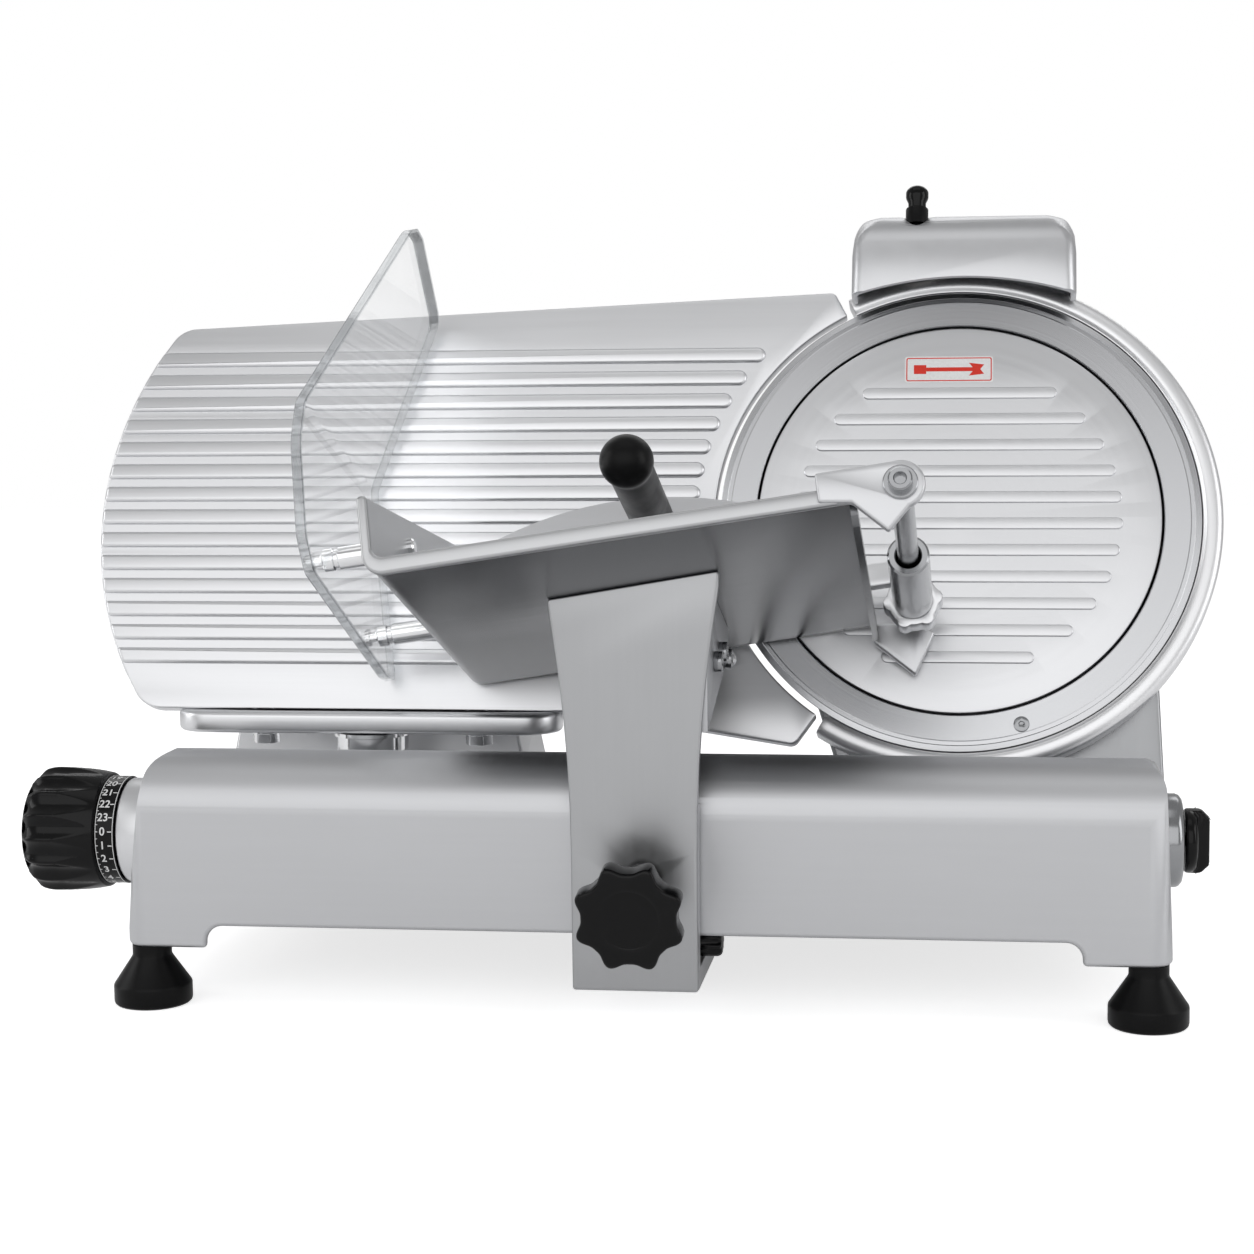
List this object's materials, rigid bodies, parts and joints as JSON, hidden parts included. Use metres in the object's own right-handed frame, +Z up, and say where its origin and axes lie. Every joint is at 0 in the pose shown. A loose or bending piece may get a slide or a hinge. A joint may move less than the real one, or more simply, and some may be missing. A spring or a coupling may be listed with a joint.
{
  "type": "electric food slicer",
  "caption": "Gravity-feed food slicer: leaning round blade with a fixed cover, ribbed gauge plate, dial for slice thickness, and a sliding tray with a pusher and a clear guard.",
  "frame": {"origin": "on the table under the middle of the object's box", "axes": "+X along the base to the operator's right, +Y away from the operator, +Z up"},
  "size_m": [0.6004, 0.3848, 0.4053],
  "materials": {
    "cast_silver": "satin painted casting",
    "plate_silver": "satin anodised",
    "blade_steel": "turned and polished",
    "machined_steel": "machined",
    "polished_chrome": "polished",
    "dark_metal": "dark, plain",
    "bush_brass": "machined",
    "black_plastic": "semi-gloss moulding",
    "black_rubber": "matt",
    "clear_sheet": "clear plastic sheet with polished edges",
    "grey_stone": "fine grinding stone"
  },
  "bodies": {
    "base": {"base_casting": "cast_silver", "bottom_cover": "dark_metal", "feet": "black_rubber", "housing_screws": "machined_steel", "slide_rod": "polished_chrome", "guide_rail": "machined_steel", "index_housing": "plate_silver", "guide_shaft": "polished_chrome", "dial_collar": "plate_silver", "switch_bezel": "machined_steel", "switch_body": "dark_metal", "cord_gland": "black_rubber", "drive_housing": "cast_silver", "motor_stator": "dark_metal", "motor_cover": "cast_silver", "spindle": "machined_steel", "drive_belt": "black_rubber", "ring_guard": "plate_silver", "blade_cover": "plate_silver", "sharpener_housing": "plate_silver", "button_seat": "black_rubber"},
    "blade": {"blade": "blade_steel", "blade_hub": "machined_steel", "spindle_bearings": "polished_chrome", "blade_screws": "machined_steel"},
    "rotor": {"motor_rotor": "machined_steel", "motor_pulley": "machined_steel", "cooling_fan": "black_plastic"},
    "gauge": {"gauge_plate": "plate_silver", "gauge_bracket": "cast_silver", "gauge_bolts": "machined_steel", "gauge_post": "polished_chrome", "post_dome": "cast_silver", "slider_block": "dark_metal"},
    "dial": {"dial_grip": "black_plastic", "dial_ring": "black_plastic", "dial_shaft": "machined_steel", "index_cam": "machined_steel"},
    "switch": {"switch_knob": "black_plastic"},
    "release": {"release_knob": "black_plastic"},
    "carriage": {"carriage_arm": "cast_silver", "carriage_foot": "cast_silver", "arm_gussets": "cast_silver", "carriage_bolts": "machined_steel", "carriage_block": "dark_metal", "slide_bushes": "bush_brass", "tray_pan": "cast_silver", "clear_guard": "clear_sheet", "guard_spacers": "polished_chrome", "rod_brackets": "cast_silver", "pusher_rod": "polished_chrome"},
    "sleeve": {"pusher_sleeve": "machined_steel"},
    "pusher": {"pusher_arm": "cast_silver", "pusher_plate": "plate_silver", "pusher_grip": "black_plastic"},
    "star": {"star_knob": "black_plastic"},
    "lock": {"lock_knob": "black_plastic"},
    "roller": {"guide_roller": "black_plastic"},
    "button": {"sharpener_button": "black_plastic"},
    "stone": {"grinding_stone": "grey_stone"}
  },
  "joints": [
    {"name": "carriage_slide", "type": "slide", "parent": "base", "child": "carriage", "axis": [1, 0, 0], "range_m": [-0.13, 0.13]},
    {"name": "blade_spin", "type": "hinge", "parent": "base", "child": "blade", "pos_m": [0.16425, 0.05785, 0.231], "axis": [0, -0.9367, 0.3502], "continuous": true},
    {"name": "motor_spin", "type": "hinge", "parent": "base", "child": "rotor", "pos_m": [0.16425, 0.09071, 0.14185], "axis": [0, -0.9367, 0.3502], "continuous": true},
    {"name": "dial_turn", "type": "hinge", "parent": "base", "child": "dial", "pos_m": [-0.26975, -0.05415, 0.081], "axis": [1, 0, 0], "range_deg": [0, 330]},
    {"name": "gauge_slide", "type": "slide", "parent": "base", "child": "gauge", "axis": [0, 1, 0], "range_m": [0, 0.012]},
    {"name": "switch_turn", "type": "hinge", "parent": "base", "child": "switch", "pos_m": [0.27325, -0.04715, 0.082], "axis": [1, 0, 0], "range_deg": [0, 90]},
    {"name": "cover_release", "type": "hinge", "parent": "base", "child": "release", "pos_m": [0.16425, 0.12904, 0.20438], "axis": [0, -0.9367, 0.3502], "range_deg": [0, 720]},
    {"name": "pusher_slide", "type": "slide", "parent": "carriage", "child": "sleeve", "axis": [0, -0.9367, 0.3502], "range_m": [0, 0.095]},
    {"name": "pusher_swing", "type": "hinge", "parent": "sleeve", "child": "pusher", "pos_m": [0.14236, 0.00542, 0.1907], "axis": [0, 0.9367, -0.3502], "range_deg": [0, 95]},
    {"name": "star_turn", "type": "hinge", "parent": "carriage", "child": "star", "pos_m": [0.01925, -0.10535, 0.0705], "axis": [0, -0.9848, -0.1736], "range_deg": [0, 720]},
    {"name": "lock_turn", "type": "hinge", "parent": "carriage", "child": "lock", "pos_m": [0.04025, -0.07415, 0.036], "axis": [1, 0, 0], "range_deg": [0, 360]},
    {"name": "roller_spin", "type": "hinge", "parent": "carriage", "child": "roller", "pos_m": [0.01625, -0.03415, 0.0517], "axis": [0, 1, 0], "range_deg": [-950, 950]},
    {"name": "button_press", "type": "slide", "parent": "base", "child": "button", "axis": [0, -0.3502, -0.9367], "range_m": [0, 0.0025], "stiffness_N_per_m": 600, "springref_m": -0.004},
    {"name": "stone_spin", "type": "hinge", "parent": "button", "child": "stone", "pos_m": [0.14125, 0.10454, 0.36728], "axis": [0, -0.9367, 0.3502], "continuous": true}
  ],
  "couplings": [
    {"joint": "motor_spin", "follows": "blade_spin", "ratio": 4.6667},
    {"joint": "dial_turn", "follows": "gauge_slide", "rad_per_m": 479.96},
    {"joint": "roller_spin", "follows": "carriage_slide", "rad_per_m": -125}
  ]
}
